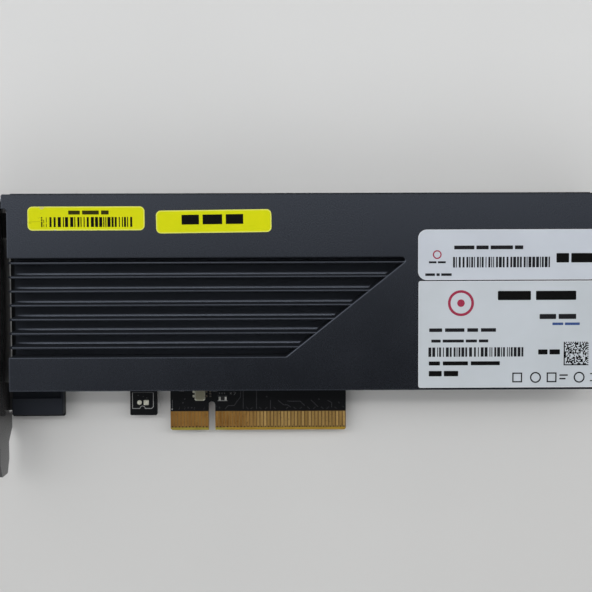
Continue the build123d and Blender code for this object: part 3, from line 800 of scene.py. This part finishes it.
# foot of each fin: a narrow, gently rounded slope that the cutter left on the +Y side, smoother than the floor
FIN_FOOT = anodised("anodised_fin_foot", (0.0012, 0.0013, 0.0018), (0.0024, 0.0025, 0.0034), 0.30)
FIN_FOOT.node_tree.nodes["Principled BSDF"].inputs["Specular IOR Level"].default_value = 1.0
FLOOR_Z = TOP_Z - 8.45
HS_LEFT, DIAG_LOW, DIAG_HIGH = -55.32, (21.72, 22.98), (56.36, 50.62)


def fin_foot(i):
    """One closed strip along fin i, from its +Y face down to the channel's floor."""
    face_y = 49.20 - 3.925 * i + 0.27
    profile, y, z = [], face_y + 0.60, FLOOR_Z + 0.004
    for tilt in (7.0, 10.5, 14.0):
        profile.append((y, z))
        y -= 0.20
        z += 0.20 * math.tan(math.radians(tilt))
    profile.append((y, z))
    profile += [(face_y, FLOOR_Z - 0.05), (face_y + 0.60, FLOOR_Z - 0.05)]
    n, v = len(profile), []
    # it rises over its first millimetres at the open end, then runs on to the channel's far wall
    slope = (DIAG_HIGH[0] - DIAG_LOW[0]) / (DIAG_HIGH[1] - DIAG_LOW[1])
    for x, part in ((HS_LEFT + 0.8, 0.10), (HS_LEFT + 3.4, 0.42), (HS_LEFT + 7.8, 1.0), (None, 1.0)):
        for y, z in profile:
            far = DIAG_LOW[0] + (y - DIAG_LOW[1]) * slope - 0.10
            v.append(put(far if x is None else x, y, FLOOR_Z + (z - FLOOR_Z) * part))
    f = [list(range(n - 1, -1, -1)), list(range(3 * n, 4 * n))]
    for s in (0, n, 2 * n):
        f += [[s + k, s + (k + 1) % n, s + n + (k + 1) % n, s + n + k] for k in range(n)]
    me = bpy.data.meshes.new("fin_foot_%d" % i)
    me.from_pydata(v, [], f)
    me.validate()
    me.update()
    o = bpy.data.objects.new("fin_foot_%d" % i, me)
    bpy.context.scene.collection.objects.link(o)
    me.materials.append(FIN_FOOT)
    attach(o, "root")


for i in range(1, 7):
    fin_foot(i)


# contact ends: a small dark mark at the lower end of each contact, where the plating bar was cut
def stub_material():
    s = Mat("contact_stub", (0.05, 0.03, 0.01), 0.5, metal=0.4)
    n = s.noise(6.0, 2.0, 0.6)
    s.color(s.mix(s.remap(n, 0.3, 0.7), (0.020, 0.011, 0.002), (0.046, 0.027, 0.005)))
    s.rough(s.remap(n, 0.3, 0.7, 0.45, 0.6))
    s.bump(n, 0.2, 0.01)
    return s.m


STUB = stub_material()
CONTACTS = [-1.5 - i for i in range(10, -1, -1)] + [1.5 + i for i in range(38)]
stub = Flat()
for x in CONTACTS:
    stub.rect(x - 0.20, x + 0.20, 0.84, 1.24, BOARD_Z + 0.045, BOARD_Z + 0.062, 0.08, 3)
stub.make("contact_stubs", STUB)


# ================================== stage ===================================
def floor_material():
    f = Mat("pale_floor", (0.70, 0.695, 0.69), 0.8, spec=0.15)
    n = f.noise(0.01, 2.0, 0.5)
    _, y, _ = f.xyz()
    # the floor is painted paler towards +Y: a painted light falloff
    painted_dim_floor = f.mix(f.remap(n, 0.3, 0.7), (0.672, 0.664, 0.652), (0.700, 0.692, 0.680))
    far = f.mix(f.remap(n, 0.3, 0.7), (0.800, 0.795, 0.787), (0.830, 0.825, 0.817))
    f.color(f.mix(f.remap(y, -20.0, 110.0), painted_dim_floor, far))
    return f.m


me = bpy.data.meshes.new("floor")
S = 12.0
me.from_pydata([(-S, -S, -0.00005), (S, -S, -0.00005), (S, S, -0.00005), (-S, S, -0.00005)], [], [[0, 1, 2, 3]])
me.update()
floor = bpy.data.objects.new("floor", me)
bpy.context.scene.collection.objects.link(floor)
me.materials.append(floor_material())

world = bpy.data.worlds.new("soft_room")
bpy.context.scene.world = world
world.use_nodes = True
wt = world.node_tree
bg = wt.nodes["Background"]
tc = wt.nodes.new("ShaderNodeTexCoord")
# a studio ceiling that is brightest a little towards +Y, in a wide soft band along X, and
# nearly dark on the -Y side; the place across it is the tangent of the angle towards +Y
sep = wt.nodes.new("ShaderNodeSeparateXYZ")
wt.links.new(tc.outputs["Generated"], sep.inputs[0])


def wmath(op, a, b):
    m = wt.nodes.new("ShaderNodeMath")
    m.operation = op
    for k, v in enumerate((a, b)):
        if isinstance(v, (int, float)):
            m.inputs[k].default_value = v
        else:
            wt.links.new(v, m.inputs[k])
    return m.outputs[0]


def wrange(value, a, b, c, d, kind="LINEAR"):
    m = wt.nodes.new("ShaderNodeMapRange")
    m.interpolation_type = kind
    wt.links.new(value, m.inputs["Value"])
    for nm, v in (("From Min", a), ("From Max", b), ("To Min", c), ("To Max", d)):
        m.inputs[nm].default_value = v
    return m.outputs["Result"]


height = wmath("MAXIMUM", sep.outputs["Z"], 0.05)
across = wmath("DIVIDE", sep.outputs["Y"], height)
along = wmath("DIVIDE", sep.outputs["X"], height)
ramp = wt.nodes.new("ShaderNodeValToRGB")
wt.links.new(wrange(across, -1.2, 1.6, 0.0, 1.0), ramp.inputs["Fac"])
SKY = ((-1.2, 0.55), (-0.7, 0.24), (-0.3, 0.015), (-0.02, 0.015), (0.03, 1.85), (0.09, 1.75), (0.13, 0.45), (0.27, 0.50),
       (0.30, 2.4), (0.36, 2.5), (0.47, 1.50), (0.70, 0.85), (1.0, 0.35), (1.3, 0.32))
cr = ramp.color_ramp
cr.interpolation = "LINEAR"
while len(cr.elements) < len(SKY):
    cr.elements.new(0.5)
for e, (t, v) in zip(cr.elements, SKY):
    e.position = (t + 1.2) / 2.8
for e, (t, v) in zip(cr.elements, SKY):
    e.color = (v / 3, v / 3, v / 3, 1)
# and a softer light that comes in from the -X side
ends = wmath("MULTIPLY", wrange(along, -0.07, -0.50, 0.0, 0.68), wrange(along, -0.95, -0.60, 0.0, 1.0))
# with one brighter patch low on that side
ends = wmath("ADD", ends, wmath("MULTIPLY", wrange(along, -1.10, -1.25, 0.0, 1.3), wrange(along, -1.80, -1.50, 0.0, 1.0)))
level = wmath("ADD", wmath("MULTIPLY", ramp.outputs["Color"], 3.0), ends)
wt.links.new(level, bg.inputs["Strength"])
bg.inputs["Color"].default_value = (0.975, 0.99, 1.0, 1)

# one long, narrow ceiling light along X, leaning towards +Y
key = bpy.data.lights.new("key", "AREA")
key.shape = "RECTANGLE"
key.size, key.size_y = 3.0, 0.07
key.energy = 2.2
key.color = (1.0, 0.99, 0.975)
ko = bpy.data.objects.new("key", key)
bpy.context.scene.collection.objects.link(ko)
ko.location = (0.0, 0.366, 1.17)
ko.rotation_euler = Vector(ko.location).to_track_quat("Z", "Y").to_euler()

cam = bpy.data.cameras.new("camera")
cam.lens, cam.sensor_width = 68.15, 36.0
cam.clip_start, cam.clip_end = 0.01, 50
co = bpy.data.objects.new("camera", cam)
bpy.context.scene.collection.objects.link(co)
co.location = (0.002250, 0.028704, 0.328704)
co.rotation_euler = [math.radians(a) for a in (-3.198, -0.485, -0.188)]
bpy.context.scene.camera = co

bpy.context.scene.view_settings.view_transform = "Standard"
bpy.context.scene.view_settings.look = "None"
